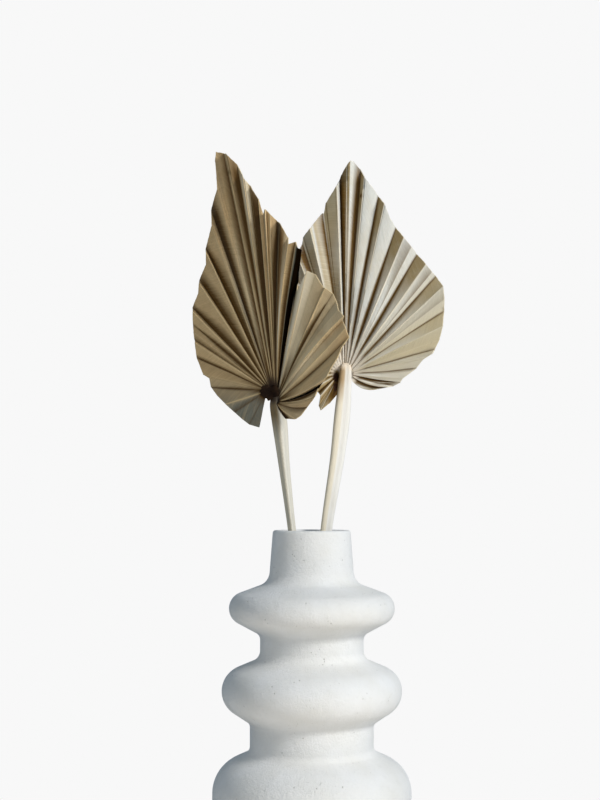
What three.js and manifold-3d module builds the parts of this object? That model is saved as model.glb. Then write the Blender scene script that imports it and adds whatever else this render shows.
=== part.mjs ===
// Two dried palm leaves, pleated and trimmed to a spear shape, on long stems in a ringed vase.
// Millimetres, +Z up. The origin is the centre of the vase's foot, and the viewer stands at -Y.
import * as THREE from 'three';
import Module from 'manifold-3d';
import { mergeVertices } from 'three/addons/utils/BufferGeometryUtils.js';

const wasm = await Module();
wasm.setup();

// Vase: the driving sizes
const VASE_HEIGHT = 188;
const RIM_RADIUS = 23.3;
const NECK_RADIUS = 25.6;
const UPPER_WAIST_RADIUS = 30.8;
const LOWER_WAIST_RADIUS = 36.7;
const BELLY_RADIUS = 58.8;
const FOOT_RADIUS = 42;
const WALL = 4.2;
const FLOOR = 5;
const INSIDE_FLOOR_RADIUS = 40;
const LIP_DEPTH = 12;
const INSIDE_STEP = 4;
const ARC_STEP = 30;
const VASE_SIDES = 40;

// The outline from foot to rim as corners [radius, height, rounding], each rounded off by an arc.
// The two upper rings are long pointed corners before they are rounded, which gives their swell.
const VASE_CORNERS = [
  [FOOT_RADIUS, 0, 3],
  [BELLY_RADIUS, 17, 21],
  [BELLY_RADIUS, 47.6, 21],
  [LOWER_WAIST_RADIUS, 57.6, 5],
  [LOWER_WAIST_RADIUS, 74.3, 4.5],
  [69.5, 96, 14.4],
  [UPPER_WAIST_RADIUS, 112.3, 7],
  [UPPER_WAIST_RADIUS, 126, 5],
  [63.1, 143.4, 9.6],
  [NECK_RADIUS, 157.2, 9],
  [RIM_RADIUS, VASE_HEIGHT, 1.8],
  [RIM_RADIUS - WALL, VASE_HEIGHT, 1.8],
];

// Leaves: the driving sizes
const BLADE_THICKNESS = 0.7;
const LEAST_SLANT = 0.22;
const CLEARANCE = 0.3;
const RAGGED_TRIM = 0.006;
const REACHES = [0, 0.12, 0.3, 0.55, 0.8, 1];
const KNOB_SIDES = 14;
const KNOB_BANDS = 8;

// Each leaf's trimmed edge, clockwise round the top of its stem, has a row [across, up, stand] for
// each crease and each corner of the cut. The stand is how far it comes forward out of the leaf's
// plane, so ridges stand in front of their neighbours and valleys behind them. The plane goes back
// by the turn for each millimetre across, on the left of the stem and on its right. The root has rows
// [crease, across, depth, up] where the creases start, and the bows are [crease, bow], how far a
// crease bends clockwise from a straight line.
const LEFT_LEAF = {
  place: [-23, -14, 270],
  seed: 7,
  turn: [-0.8, -0.85],
  root: [
    [0, -4.2, 0.8, -1], [8, -4, 1, 1.3], [30, -0.5, 0, 3.8], [45, 3.6, -1, 3], [53, 5.6, -1.6, 0.4],
    [61, 5.2, -2, -3.2], [74, 4.2, -3.2, -4.8],
  ],
  knob: { place: [1, -0.6, -1.3], size: [6.2, 4.6, 6.3] },
  edge: [
    [-8.5, -20.5, -7], [-14.5, -18.5, -7], [-19, -15, -5], [-23.5, -11, -2.5], [-29, -6, 2],
    [-34, -1, 0.5], [-38.5, 5, -1], [-39.5, 10.5, 1], [-43.5, 13, 1.2], [-48, 24, -1.6],
    [-49, 33, 1.8], [-49.5, 35.5, -0.8], [-50, 40, 0.4], [-50.5, 45, -0.8], [-50.5, 52.5, 2],
    [-51, 55.5, -1.6], [-47, 64.5, 0.6], [-46.5, 70, 2.2], [-46.5, 72.5, -1.6], [-42, 81.5, 0.6],
    [-42, 88.5, 2.2], [-42.5, 91.5, -1.6], [-38.5, 104.5, 2], [-39, 115.5, -1.8], [-37, 121, 0.2],
    [-35, 126.5, 2.2], [-35.5, 134.5, 1.6], [-36.5, 145, 0.4], [-36, 151, -0.4], [-31, 149.5, -2],
    [-29.5, 148, 2], [-22.5, 141, -2], [-19.5, 134.5, -0.5], [-18.5, 131, 2.2], [-14, 126, -1],
    [-13, 123.5, 1], [-9, 117, -0.4], [-6, 107, -1.8], [-5, 109.5, 2.6], [-4, 109, 0.4],
    [-2, 106.5, 1.4], [2.5, 102, -2], [4, 100, 1.4], [7, 94.5, 0.4], [9, 91, -1.4], [9, 86.5, 2.4],
    [13.5, 87.5, 0.6], [14.5, 83.5, 1.6], [16.8, 83.5, -6], [15, 66, -5], [14.3, 57.5, 2], [20, 69, 4],
    [25, 66.5, 1.5], [29.5, 58.5, -0.5], [30.5, 58, 1.8], [35, 54.5, -1], [37, 50, -2.4],
    [38, 44.5, 1.2], [41, 40.5, 2.2], [40.5, 38.5, -1.6], [42, 33.5, 1.4], [44, 28.5, -1],
    [40, 23, 0.6], [37.5, 17, 1.2], [34, 11.5, 1.6], [31.5, 6.5, 2.2], [29, 4, -6], [26.5, 0, -1.6],
    [25, -4, 2.2], [23, -7, 1], [20, -10.5, -1.6], [16.5, -15, 0.4], [13.5, -17, 1.6],
    [10.5, -16.5, -1.4], [7.5, -16.5, 0],
  ],
  bows: [[0, 0], [53, 0], [55, -1], [58, -2.3], [59, -1.2], [61, 1.2], [66, 1.8], [74, 0.5]],
};
const RIGHT_LEAF = {
  place: [20, 14, 282.6],
  seed: 19,
  turn: [-0.05, -0.35],
  root: [
    [0, -5, 0, -2.2], [8, -5, 0.3, 0.4], [14, -4.2, 0, 3], [20, -1.8, 0, 5.4], [29, 0.8, 0, 6],
    [38, 3.2, -0.5, 4.6], [44, 4.8, -1, 1.6], [50, 5.2, -1.2, -1], [58, 4.7, -1, -1.9],
  ],
  knob: { place: [-0.1, 0, 1.2], size: [6.4, 4.6, 5.8] },
  edge: [
    [-7.5, -11.5, 3.5], [-9.5, -17, 5], [-14.5, -22.5, 6.5], [-15.5, -19.5, 4.5], [-14.5, -13.5, 6],
    [-16, -11, 3], [-20, -10, 6], [-22.5, -7, 2.5], [-26, -4, 5], [-28, 1, 1], [-31, 6.5, 3.6],
    [-33, 13.5, -0.4], [-35, 20.5, 2.6], [-36, 29.5, -1.4], [-36.5, 38.5, 2], [-35.5, 48, -2],
    [-34, 57, 2.2], [-31.5, 66, -2], [-29, 74, 2.4], [-25.5, 81.5, -2.4], [-25, 85.5, -1.8],
    [-21, 90, 2.6], [-13.5, 100.5, -3], [-12, 100.5, -3.2], [-11, 106.5, -2], [-4.5, 116, 4.2],
    [-2.5, 121, -4.4], [-1.5, 124, -3.6], [2, 129.5, 1.4], [4, 132, 1.6], [6, 131.5, 0.2],
    [10.5, 126.5, -2.8], [12.5, 121, 1.8], [18.5, 113, -0.2], [21, 109.5, -2.2], [24.5, 103.5, 2.2],
    [28, 94.5, 0.4], [31.5, 89, -2.2], [36, 82, 2.2], [40.5, 76.5, 0.6], [44, 72, -2.2],
    [49, 65, 2.2], [52.5, 60.5, 0.4], [55, 58, -1.8], [59, 51, 2], [60, 43.5, 1.2],
    [60, 36.5, -1.6], [58.5, 27, 1.4], [56.5, 19, 0.8], [54, 13.5, -1.4], [52.5, 11, 1.4],
    [47, 7.5, 1], [43, 2.5, -1.4], [35, -3.5, 1.4], [33.5, -6, 0.4], [31, -8, -1.4],
    [26.5, -8.5, 1.4], [23.5, -8.5, -1.6], [19.5, -9.5, 0.4],
  ],
  bows: [[0, 0], [44, 0], [47, -1.2], [52, -1.2], [58, -1.5]],
};

// Stems: [height, x, y, radius] from the vase's floor to the leaf
const STEM_SIDES = 9;
const STEM_RINGS = 16;
const STEM_EDGES = 3;
const STEM_EDGE_RISE = 0.1;
const LEFT_STEM = [
  [FLOOR + CLEARANCE, 12, -5, 2.6],
  [95, 0, -7.8, 2.4],
  [VASE_HEIGHT, -11.7, -10, 2.4],
  [226, -16.3, -11, 3.3],
  [254, -19.3, -12, 4.6],
  [262.2, -20.7, -12, 4.2],
];
const RIGHT_STEM = [
  [FLOOR + CLEARANCE, -12, 9, 3.4],
  [95, -1, 10.6, 3.4],
  [VASE_HEIGHT, 8.6, 11.7, 3.6],
  [231, 15.2, 12.6, 4.4],
  [258, 18.4, 13.2, 5],
  [277.8, 19.7, 13.6, 4.4],
];

// Reading a value between rows, with a smooth slope through each row
function between(rows, column, at) {
  const last = rows.length - 1;
  let i = 0;
  while (i < last - 1 && at > rows[i + 1][0]) i += 1;
  const slope = (k) => {
    const a = rows[Math.max(k - 1, 0)];
    const b = rows[Math.min(k + 1, last)];
    return (b[column] - a[column]) / (b[0] - a[0]);
  };
  const span = rows[i + 1][0] - rows[i][0];
  const t = (at - rows[i][0]) / span;
  const start = rows[i][column];
  const end = rows[i + 1][column];
  return (2 * t ** 3 - 3 * t ** 2 + 1) * start + (t ** 3 - 2 * t ** 2 + t) * span * slope(i)
    + (3 * t ** 2 - 2 * t ** 3) * end + (t ** 3 - t ** 2) * span * slope(i + 1);
}

// Small repeatable draws between -1 and 1
function draws(seed) {
  let state = seed;
  return () => {
    state = (state * 16807) % 2147483647;
    return (state / 2147483647) * 2 - 1;
  };
}

function solidFrom(points, triangles) {
  const geometry = new THREE.BufferGeometry();
  geometry.setAttribute('position', new THREE.Float32BufferAttribute(points.flat(), 3));
  geometry.setIndex(triangles.flat());
  return geometry;
}

// A closed body over a grid of rows and columns of points, front and back
function sheetBody(front, back) {
  const rows = front.length;
  const columns = front[0].length;
  const points = [...front.flat(), ...back.flat()].map((p) => p.toArray());
  const backStart = rows * columns;
  const at = (row, column) => row * columns + column;
  const triangles = [];
  const addQuad = (a, b, c, d) => triangles.push([a, b, c], [a, c, d]);
  for (let row = 0; row < rows - 1; row += 1) {
    for (let column = 0; column < columns - 1; column += 1) {
      const corners = [at(row, column), at(row + 1, column), at(row + 1, column + 1), at(row, column + 1)];
      addQuad(...corners);
      const [a, b, c, d] = corners.map((corner) => corner + backStart);
      triangles.push([a, c, b], [a, d, c]);
    }
  }
  const addRim = (path) => {
    for (let i = 0; i < path.length - 1; i += 1) {
      addQuad(path[i], path[i + 1], path[i + 1] + backStart, path[i] + backStart);
    }
  };
  const rowPath = (row) => Array.from({ length: columns }, (_, column) => at(row, column));
  const columnPath = (column) => Array.from({ length: rows }, (_, row) => at(row, column));
  addRim(rowPath(0));
  addRim(columnPath(columns - 1));
  addRim(rowPath(rows - 1).reverse());
  addRim(columnPath(0).reverse());
  return solidFrom(points, triangles);
}

// A round-sectioned body through a list of rings
function ringBody(rings) {
  const sides = rings[0].length;
  const points = rings.flat().map((p) => p.toArray());
  const triangles = [];
  for (let ring = 0; ring < rings.length - 1; ring += 1) {
    for (let side = 0; side < sides; side += 1) {
      const a = ring * sides + side;
      const b = ring * sides + ((side + 1) % sides);
      triangles.push([a, b, b + sides], [a, b + sides, a + sides]);
    }
  }
  const top = (rings.length - 1) * sides;
  for (let side = 1; side < sides - 1; side += 1) {
    triangles.push([0, side + 1, side], [top, top + side, top + side + 1]);
  }
  return solidFrom(points, triangles);
}

function toManifold(geometry) {
  const bare = geometry.clone();
  bare.deleteAttribute('normal');
  bare.deleteAttribute('uv');
  const merged = mergeVertices(bare, 1e-4);
  const mesh = new wasm.Mesh({
    numProp: 3,
    vertProperties: new Float32Array(merged.attributes.position.array),
    triVerts: new Uint32Array(merged.index.array),
  });
  return new wasm.Manifold(mesh);
}

function fromManifold(solid) {
  const mesh = solid.getMesh();
  const geometry = new THREE.BufferGeometry();
  geometry.setAttribute('position', new THREE.BufferAttribute(new Float32Array(mesh.vertProperties), 3));
  geometry.setIndex(new THREE.BufferAttribute(new Uint32Array(mesh.triVerts), 1));
  return geometry;
}

// The vase
function roundedOutline(corners) {
  const arcStep = THREE.MathUtils.degToRad(ARC_STEP);
  const outline = [];
  corners.forEach(([radius, height, rounding], i) => {
    const corner = new THREE.Vector2(radius, height);
    const before = corners[Math.max(i - 1, 0)];
    const after = corners[Math.min(i + 1, corners.length - 1)];
    const toBefore = new THREE.Vector2(before[0] - radius, before[1] - height);
    const toAfter = new THREE.Vector2(after[0] - radius, after[1] - height);
    if (i === 0) toBefore.set(-1, 0);
    if (i === corners.length - 1) toAfter.set(0, -1);
    toBefore.normalize();
    toAfter.normalize();
    const half = Math.acos(THREE.MathUtils.clamp(toBefore.dot(toAfter), -1, 1)) / 2;
    const middle = toBefore.clone().add(toAfter).normalize().multiplyScalar(rounding / Math.sin(half));
    const centre = corner.clone().add(middle);
    const reach = rounding / Math.tan(half);
    const from = corner.clone().addScaledVector(toBefore, reach).sub(centre);
    const to = corner.clone().addScaledVector(toAfter, reach).sub(centre);
    const turn = Math.atan2(from.cross(to), from.dot(to));
    const steps = Math.max(2, Math.ceil(Math.abs(turn) / arcStep));
    for (let step = 0; step <= steps; step += 1) {
      const spoke = from.clone().rotateAround(new THREE.Vector2(), (turn * step) / steps);
      outline.push(centre.clone().add(spoke));
    }
  });
  return outline;
}

// The inside follows the outside at one wall's thickness, from under the lip down to the floor
function makeVase() {
  const outside = roundedOutline(VASE_CORNERS);
  const inside = [outside[outside.length - 1]];
  for (let i = outside.length - 2; i > 0; i -= 1) {
    const along = outside[i + 1].clone().sub(outside[i - 1]).normalize();
    const point = new THREE.Vector2(outside[i].x - along.y * WALL, outside[i].y + along.x * WALL);
    const last = inside[inside.length - 1];
    const underLip = outside[i].y < VASE_HEIGHT - LIP_DEPTH;
    const onward = point.y < last.y && point.distanceTo(last) > INSIDE_STEP;
    if (underLip && onward && point.y > FLOOR) inside.push(point);
  }
  const profile = [
    new THREE.Vector2(0, 0),
    ...outside,
    ...inside.slice(1),
    new THREE.Vector2(INSIDE_FLOOR_RADIUS, FLOOR),
    new THREE.Vector2(0, FLOOR),
  ];
  return new THREE.LatheGeometry(profile, VASE_SIDES).rotateX(Math.PI / 2);
}

// The pleated blades. Both faces of a sheet are its middle moved straight forward and straight back,
// further where the sheet stands steep to the viewer, so that its thickness stays the same.
function makeBlade(leaf) {
  const draw = draws(leaf.seed);
  const last = leaf.edge.length - 1;
  const ends = leaf.edge.map(([across, up, stand]) => {
    const turn = across < 0 ? leaf.turn[0] : leaf.turn[1];
    return new THREE.Vector3(across, turn * across - stand, up).multiplyScalar(1 + RAGGED_TRIM * draw());
  });
  const roots = ends.map((end, crease) => (
    new THREE.Vector3(...[1, 2, 3].map((column) => between(leaf.root, column, crease)))
  ));
  const slantAfter = (crease) => {
    const along = ends[crease].clone().sub(roots[crease]);
    const facing = ends[crease + 1].clone().sub(ends[crease]).cross(along).normalize();
    return Math.abs(facing.y);
  };

  const middle = ends.map((end, crease) => {
    const along = end.clone().sub(roots[crease]);
    const sideways = new THREE.Vector3(along.z, 0, -along.x).normalize();
    const bow = between(leaf.bows, 1, crease);
    return REACHES.map((reach) => (
      roots[crease].clone()
        .addScaledVector(along, reach)
        .addScaledVector(sideways, 4 * bow * reach * (1 - reach))
    ));
  });
  const moved = (sign) => middle.map((line, crease) => {
    const slant = Math.min(slantAfter(Math.max(crease - 1, 0)), slantAfter(Math.min(crease, last - 1)));
    const half = BLADE_THICKNESS / 2 / Math.max(slant, LEAST_SLANT);
    return line.map((point) => point.clone().add(new THREE.Vector3(0, sign * half, 0)));
  });
  const sheet = toManifold(sheetBody(moved(-1), moved(1)));

  const knob = new THREE.SphereGeometry(1, KNOB_SIDES, KNOB_BANDS)
    .scale(...leaf.knob.size)
    .translate(...leaf.knob.place);
  return fromManifold(sheet.add(toManifold(knob)));
}

// The stems, with a blunt edge towards the viewer
function makeStem(rows) {
  const low = rows[0][0];
  const high = rows[rows.length - 1][0];
  const right = new THREE.Vector3(1, 0, 0);
  const front = new THREE.Vector3(0, -1, 0);
  const rings = [];
  for (let ring = 0; ring <= STEM_RINGS; ring += 1) {
    const height = low + ((high - low) * ring) / STEM_RINGS;
    const centre = new THREE.Vector3(between(rows, 1, height), between(rows, 2, height), height);
    const radius = between(rows, 3, height);
    rings.push(Array.from({ length: STEM_SIDES }, (_, side) => {
      const angle = (2 * Math.PI * side) / STEM_SIDES;
      const reach = radius * (1 + STEM_EDGE_RISE * Math.cos(STEM_EDGES * angle));
      return centre.clone()
        .addScaledVector(front, reach * Math.cos(angle))
        .addScaledVector(right, reach * Math.sin(angle));
    }));
  }
  return ringBody(rings);
}

function named(name, geometry, color, roughness) {
  const material = new THREE.MeshStandardMaterial({ color, roughness, metalness: 0 });
  const mesh = new THREE.Mesh(geometry, material);
  mesh.name = name;
  return mesh;
}

const group = new THREE.Group();
group.add(named('vase', makeVase(), 0xe9e9e6, 0.75));

const leftBlade = named('left_leaf_blade', makeBlade(LEFT_LEAF), 0x85755a, 0.8);
leftBlade.position.set(...LEFT_LEAF.place);
group.add(leftBlade);
group.add(named('left_leaf_stem', makeStem(LEFT_STEM), 0xcfc8b4, 0.75));

const rightBlade = named('right_leaf_blade', makeBlade(RIGHT_LEAF), 0xc9bd9f, 0.8);
rightBlade.position.set(...RIGHT_LEAF.place);
group.add(rightBlade);
group.add(named('right_leaf_stem', makeStem(RIGHT_STEM), 0xe2dccb, 0.75));

export default group;
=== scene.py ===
"""Two dried palm leaves on long stems in a ringed white vase.

The vase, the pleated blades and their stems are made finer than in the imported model, at its sizes
and with small changes of shape. Lengths in the tables are millimetres, and the viewer is at -Y.
"""
import math
import random

import bpy
from mathutils import Matrix, Vector, noise


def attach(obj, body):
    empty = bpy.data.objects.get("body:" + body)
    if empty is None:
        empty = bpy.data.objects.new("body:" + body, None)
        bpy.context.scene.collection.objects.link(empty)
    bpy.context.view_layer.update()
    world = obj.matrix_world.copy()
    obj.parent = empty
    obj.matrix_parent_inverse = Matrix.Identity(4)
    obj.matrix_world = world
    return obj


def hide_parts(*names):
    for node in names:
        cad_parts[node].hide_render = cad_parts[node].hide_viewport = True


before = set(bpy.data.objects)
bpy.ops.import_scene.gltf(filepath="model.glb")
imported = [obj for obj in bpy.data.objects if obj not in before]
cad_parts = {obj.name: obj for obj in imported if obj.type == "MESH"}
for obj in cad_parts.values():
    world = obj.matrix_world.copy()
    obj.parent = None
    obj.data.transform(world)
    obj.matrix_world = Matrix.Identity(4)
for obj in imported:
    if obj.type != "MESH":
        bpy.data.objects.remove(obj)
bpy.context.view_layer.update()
scene = bpy.context.scene
MM = 0.001

# The vase. Its outline goes from foot to rim as corners (radius, height, rounding).
VASE_HEIGHT = 188
RIM_RADIUS = 23.3
NECK_RADIUS = 25.6
UPPER_WAIST_RADIUS = 30.8
LOWER_WAIST_RADIUS = 36.7
BELLY_RADIUS = 58.8
FOOT_RADIUS = 42
WALL = 4.2
FLOOR = 5
INSIDE_FLOOR_RADIUS = 40
LIP_DEPTH = 12
VASE_SIDES = 160
VASE_ARC_STEP = 6
VASE_STRAIGHT_STEP = 2.0
INSIDE_STEP = 0.2
VASE_UNEVEN = 0.12
VASE_WAVES_ROUND = 1.3
VASE_WAVES_UP = 0.035
VASE_CORNERS = [
    (FOOT_RADIUS, 0, 3),
    (BELLY_RADIUS, 17, 21),
    (BELLY_RADIUS, 47.6, 21),
    (LOWER_WAIST_RADIUS, 57.6, 5),
    (LOWER_WAIST_RADIUS, 74.3, 4.5),
    (69.5, 96, 14.4),
    (UPPER_WAIST_RADIUS, 112.3, 7),
    (UPPER_WAIST_RADIUS, 126, 5),
    (63.1, 143.4, 9.6),
    (NECK_RADIUS, 157.2, 9),
    (RIM_RADIUS, VASE_HEIGHT, 1.8),
    (RIM_RADIUS - WALL, VASE_HEIGHT, 1.8),
]

# The blades' thickness, and how finely they are cut along and across their creases
BLADE_THICKNESS = 0.55
STATIONS = 60
COLUMN_STEP = 1.1
RIM_STRIP = 0.4

# The knot at a joint: how finely it is cut, its pleats, and how far its front is dented
HUB_SIDES = 48
HUB_RINGS = 24
HUB_FOLDS = 13
HUB_FOLD_SHARE = 0.5
HUB_DENT = 0.7
HUB_WAVES = 1.6

# Ribs along the creases, and painted shade along the valleys. A crease that stands FULL_FOLD past those
# beside it is a full ridge or valley, and a facet of few rib widths gets no columns for the ribs'
# edges. The growths say how fast ribs and the painted valley shade come up on the way out from the
# joint.
FULL_FOLD = 2.5
FEW_RIB_WIDTHS = 3.2
RIB_WIDTH = 0.45
RIB_RISE = 0.2
RIB_GROWTH = 2.5
VALLEY_SHADE_WIDTH = 0.8
VALLEY_SHADE_SHARPNESS = 1.4
VALLEY_SHADE_DARK = 0.85
VALLEY_SHADE_GROWTH = 12
VALLEY_SHADE_START = 0.8

# Small irregularities: how far facets swell, creases wander to the front and sway to the side, and
# the trimmed edge is ragged. The waves are across the creases and along them, and the ease says how
# much less creases wander near the rim.
BULGE = 0.055
BULGE_RANGE = (-0.3, 1.0)
WANDER = 1.1
WANDER_WAVES = (0.35, 2.6)
WANDER_EASE = 0.4
SWAY = 0.7
SWAY_WAVES = (0.6, 3.4)
RAGGED = 0.006
RAGGED_WAVES = 0.9
RAGGED_FROM = 0.9

# The painted shade beside a fold and the dark of a spot: its narrowest reach in creases, how sharply it
# fades, its deepest
NARROWEST_SHADE = 0.06
SHADE_SHARPNESS = 1.4
SPOT_SHARPNESS = 1.5
DEEPEST = 1.6

# How far out the painted shade round the stem goes, how much the ridges are spared it, and how close
# the fibres are at the root as a share of the rim
ROOT_SHADE_REACH = 0.4
RIDGES_SPARED = 0.7
FIBRES_AT_ROOT = 0.25

# The leaves, each measured from the top of its stem at "place". Its plane is turned: it lies back by
# "turn" times across, with one turn for the left of the stem and one for the right.
# "root": where creases start, as (crease, across, back, up), with those between two rows filled in.
# "edge": where each crease ends, and each corner of the trimmed edge, as (across, up, stand), where
# stand is how far it comes forward out of the leaf's plane.
# "bows": (crease, how far it bows sideways).
# The tones paint light and shade by crease, as (crease, near the stem, near the rim). Above 0 is
# painted light, paler up to cream at 2, and below 0 is painted shade, greyer down to the painted shadow
# of a gap at -2.
# The folds with painted shade beside them are listed as (crease, how many creases the shade reaches
# beside it near the stem, the same near the rim, depth). Below 0 it reaches towards the lower crease
# numbers.
# "lines": creases with more painted highlight (above 0) or painted valley shade (below 0) than their
# stand would give them.
# "spots": dark patches as (across, up, half width, half height, depth); those by the joint are painted
# shade.
# The root shade is how dark the painted shade gets towards the stem. "joint": how soon it loses the
# joint's colour.
# The groove is how dark the painted shade in the joint's own pleats is.
# "hub": the knot at the joint, as (middle, half sizes, tone, lumpiness).
LEFT_LEAF = {
    "place": (-23, -14, 270),
    "seed": 7,
    "turn": (-0.8, -0.85),
    "root": [
        (0, -4.2, 0.8, -1), (8, -4, 1, 1.3), (30, -0.5, 0, 3.8), (45, 2.6, -1, 3),
        (53, 3.8, -1.6, -0.8), (61, 3.2, -2.2, -5), (74, 2.2, -3.4, -7.6),
    ],
    "edge": [
        (-8.5, -20.5, -7), (-14.5, -18.5, -7), (-19, -15, -5), (-23.5, -11, -2.5), (-29, -6, 2),
        (-34, -1, 0.5), (-38.5, 5, -1), (-39.5, 10.5, 1), (-43.5, 13, 1.2), (-48, 24, -1.6),
        (-49, 33, 1.8), (-49.5, 35.5, -0.8), (-50, 40, 0.4), (-50.5, 45, -0.8), (-50.5, 52.5, 2),
        (-51, 55.5, -1.6), (-47, 64.5, 0.6), (-46.5, 70, 2.2), (-46.5, 72.5, -1.6), (-42, 81.5, 0.6),
        (-42, 88.5, 2.2), (-42.5, 91.5, -1.6), (-38.5, 104.5, 2), (-39, 115.5, -1.8), (-37, 121, 0.2),
        (-35, 126.5, 2.2), (-35.5, 134.5, 1.6), (-36.5, 145, 0.4), (-36, 151, -0.4), (-31, 149.5, -2),
        (-29.5, 148, 2), (-22.5, 141, -2), (-19.5, 134.5, -0.5), (-18.5, 131, 2.2), (-14, 126, -1),
        (-13, 123.5, 1), (-9, 117, -0.4), (-6, 107, -1.8), (-5, 109.5, 2.6), (-4, 109, 0.4),
        (-2, 106.5, 1.4), (2.5, 102, -2), (4, 100, 1.4), (7, 94.5, 0.4), (9, 91, -1.4), (9, 86.5, 2.4),
        (13.5, 87.5, 0.6), (14.5, 83.5, 1.6), (16.8, 83.5, -6), (15, 66, -5), (14.3, 57.5, 2),
        (20, 69, 4), (25, 66.5, 1.5), (29.5, 58.5, -0.5), (30.5, 58, 1.8), (35, 54.5, -1),
        (37, 50, -2.4), (38, 44.5, 1.2), (41, 40.5, 2.2), (40.5, 38.5, -1.6), (42, 33.5, 1.4),
        (44, 28.5, -1), (40, 23, 0.6), (37.5, 17, 1.2), (34, 11.5, 1.6), (31.5, 6.5, 2.2), (29, 4, -6),
        (26.5, 0, -1.6), (25, -4, 2.2), (23, -7, 1), (20, -10.5, -1.6), (16.5, -15, 0.4),
        (13.5, -17, 1.6), (10.5, -16.5, -1.4), (7.5, -16.5, 0),
    ],
    "bows": [
        (0, 0), (40, 0), (43, -1), (45, -1.6), (46.5, -0.6), (47.5, 0), (53, 0), (55, -1), (58, -2.3),
        (59, -1.2), (61, 1.2), (66, 1.8), (74, 0.5),
    ],
    "painted_tones": [
        (0, -1, -1), (3.5, -1, -1), (4.2, -0.5, -0.6), (7, -0.3, -0.2), (8, 0, 0), (21.9, 0, 0),
        (22.1, 1.1, -0.1), (23, 1.1, -0.2), (24, 0, 0), (25.5, 0.8, -0.2), (27, 0.9, -0.3), (29, 0, 0),
        (31.5, 0.4, 0.6), (32, 0.8, 1.8), (32.8, 0.7, 1.3), (33.6, 0.6, 1.3), (34, 0, 0),
        (36, -0.1, -0.1), (37.8, 0, 0.6), (39, 0, 0), (42.8, 0, 0), (43, 2, 1), (44.8, 2, 1),
        (45, 0, 0), (46.2, 0, 0), (46.5, -3, -0.6), (47.2, -3, -2.6), (48.1, -3, -3), (48.4, -0.5, -3),
        (48.8, 1.8, -3), (49.3, 2, -2.4), (49.5, 2, -0.4), (49.8, 1.7, 0.8), (50.5, 1.4, 1.6),
        (51.5, 1.2, 1.5), (52, 1.1, 1), (53, 1.1, 0.4), (57, 0.3, 0.9), (58, 1.3, 0.9), (59.9, 1, 0.4),
        (61, 0, 0), (62, -0.2, -0.1), (65, 0.1, 0.5), (65.8, 0.2, 0), (66, -2.3, -2.3),
        (66.9, -2.3, -2.3), (67, -0.3, -0.3), (69.5, -0.3, -0.3), (70, -0.4, -0.6), (73, -0.3, -0.5),
        (74, -0.3, -0.3),
    ],
    "painted_fold_shades": [
        (3, 0.8, 0.5, 0.5), (6, -0.6, -0.2, 0.8), (6, 0.6, 0.1, 0.7), (9, 0.45, 0.3, 1),
        (11, -0.8, -1, 0.7), (11, 1, 1, 0.5), (13, -1, -0.1, 0.7), (13, 1, 0.15, 1), (15, 1.4, 0.45, 1),
        (18, 1.5, 0.8, 1), (21, 1.6, 0.5, 1), (23, 2.3, 1.8, 1.3), (23, -0.1, -0.3, 0.8),
        (29, -2.2, -0.9, 0.7), (29, 1, 1, 0.6), (31, -1, -1.4, 1), (31, 0.9, 0.5, 0.9),
        (34, -1.1, -0.4, 0.9), (35.95, -3.4, -2.6, 1.2), (39, -3, -2.4, 0.3), (41, -2.3, -0.5, 1.2),
        (41, 2.6, 3, 1.3), (46, -1.1, -0.6, 1), (55, -1.4, -0.1, 1.1), (61, -0.6, -0.5, 0.5),
        (61, 1.4, 0.3, 0.7), (67, 1.6, 0.7, 1.3), (70, -0.1, -0.2, 1.2), (70, 1.6, 0.9, 0.5),
        (74, -2.6, -1.4, 1.5),
    ],
    "lines": [
        (35, -0.3), (36, 1.0), (44, 0.3), (50, 0.8), (53, -0.2), (55, -0.35), (56, -0.3), (59, -0.3),
    ],
    "root_shade": 1.3,
    "joint": 16,
    "knot_groove_shade": 0.8,
    "spots": [
        (-3.4, -0.6, 6.5, 5.4, 1.9), (-1, 3, 2.8, 8, 1.2), (1.8, -6, 4.5, 4, 1.7),
        (1.2, -2, 3.4, 5, 1.3), (-27.1, 136, 1.6, 2.2, 0.8), (-22.3, 122.7, 1.4, 4, 0.7),
    ],
    "hub": ((-1.4, 1.4, -0.1), (5.9, 1.5, 4.9), -1.2, 0.18),
}
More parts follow.
